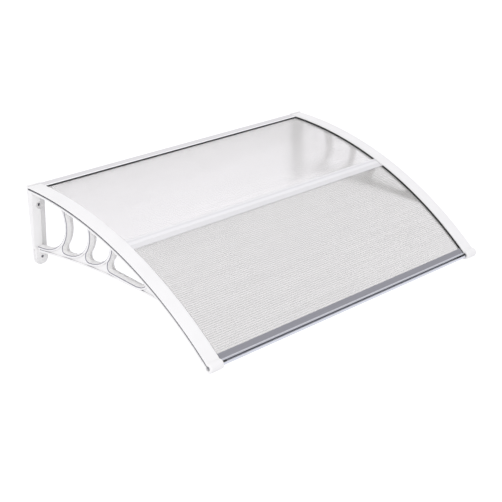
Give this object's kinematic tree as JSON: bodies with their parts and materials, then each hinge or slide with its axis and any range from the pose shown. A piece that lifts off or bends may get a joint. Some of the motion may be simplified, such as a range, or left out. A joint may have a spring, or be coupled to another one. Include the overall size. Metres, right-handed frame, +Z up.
{
  "type": "door canopy",
  "caption": "Wall-mounted door canopy: curved hollow polycarbonate sheets between two white plastic side brackets with openwork webs, front and rear bars and a middle connector.",
  "frame": {"origin": "on the wall plane, half way along the rear bar, at the height where the middle of the arms' slots meets the wall", "axes": "+X along the wall, +Y into the wall, +Z up; the canopy reaches out along -Y"},
  "size_m": [1.2, 0.7971, 0.3789],
  "materials": {
    "white_plastic": "moulded satin white plastic, finely textured",
    "polycarbonate": "milky translucent twin-wall polycarbonate, smooth skins",
    "clear_plastic": "extruded frosted clear plastic",
    "grey_aluminium": "extruded, grey satin",
    "pale_aluminium": "extruded, white coated, satin",
    "black_rubber": "extruded black rubber, matt",
    "black_plastic": "moulded black plastic",
    "zinc_steel": "zinc plated"
  },
  "bodies": {
    "root": {"bracket_left": "white_plastic", "bracket_right": "white_plastic", "rear_sheet": "polycarbonate", "front_sheet": "polycarbonate", "middle_connector": "clear_plastic", "front_bar": "grey_aluminium", "rear_bar": "pale_aluminium", "rear_seal": "black_rubber", "side_seal_left_rear": "black_rubber", "side_seal_left_front": "black_rubber", "side_seal_right_rear": "black_rubber", "side_seal_right_front": "black_rubber", "front_bar_plug_left": "black_plastic", "front_bar_plug_right": "black_plastic", "bar_screw_left": "zinc_steel", "bar_screw_right": "zinc_steel"}
  },
  "joints": []
}
